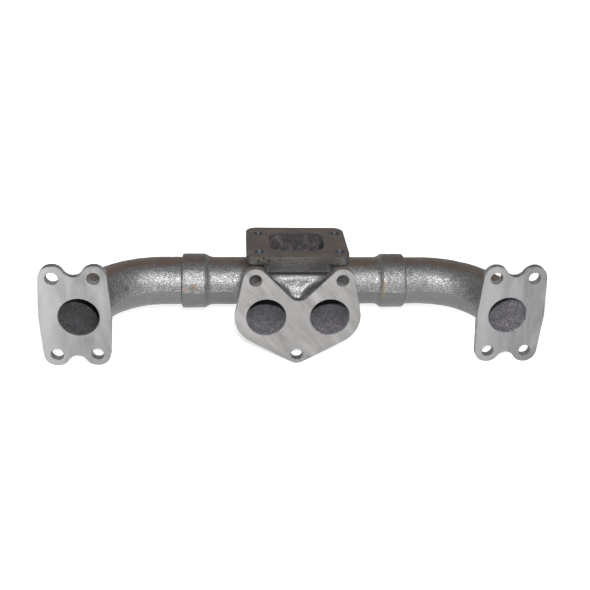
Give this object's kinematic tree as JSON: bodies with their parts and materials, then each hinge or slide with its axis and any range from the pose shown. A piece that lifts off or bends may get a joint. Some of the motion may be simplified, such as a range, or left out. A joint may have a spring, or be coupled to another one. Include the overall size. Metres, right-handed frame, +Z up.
{
  "type": "exhaust manifold",
  "caption": "Sectional cast-iron exhaust manifold with slip-jointed end elbows, head flanges and a turbocharger mounting flange on top.",
  "frame": {"origin": "on the head face, midway between the middle ports and at the height of the end ports", "axes": "+X along the engine, +Y away from the cylinder head, +Z up towards the turbine flange"},
  "size_m": [0.5, 0.118, 0.107],
  "materials": {
    "cast_iron": "shot-blasted as cast, with machined flange faces",
    "ring_steel": "ground"
  },
  "bodies": {
    "centre": {"centre_casting": "cast_iron"},
    "left_rings": {"left_seal_ring_1": "ring_steel", "left_seal_ring_2": "ring_steel", "left_seal_ring_3": "ring_steel", "left_seal_ring_4": "ring_steel"},
    "left_end": {"left_elbow": "cast_iron"},
    "right_rings": {"right_seal_ring_1": "ring_steel", "right_seal_ring_2": "ring_steel", "right_seal_ring_3": "ring_steel", "right_seal_ring_4": "ring_steel"},
    "right_end": {"right_elbow": "cast_iron"}
  },
  "joints": [
    {"name": "left_slip", "type": "slide", "parent": "centre", "child": "left_rings", "axis": [-1, 0, 0], "range_m": [-0.003, 0.003]},
    {"name": "left_swivel", "type": "hinge", "parent": "left_rings", "child": "left_end", "pos_m": [-0.1, 0.077, 0.0026], "axis": [-1, 0, 0], "continuous": true},
    {"name": "right_slip", "type": "slide", "parent": "centre", "child": "right_rings", "axis": [1, 0, 0], "range_m": [-0.003, 0.003]},
    {"name": "right_swivel", "type": "hinge", "parent": "right_rings", "child": "right_end", "pos_m": [0.1, 0.077, 0.0026], "axis": [-1, 0, 0], "continuous": true}
  ]
}
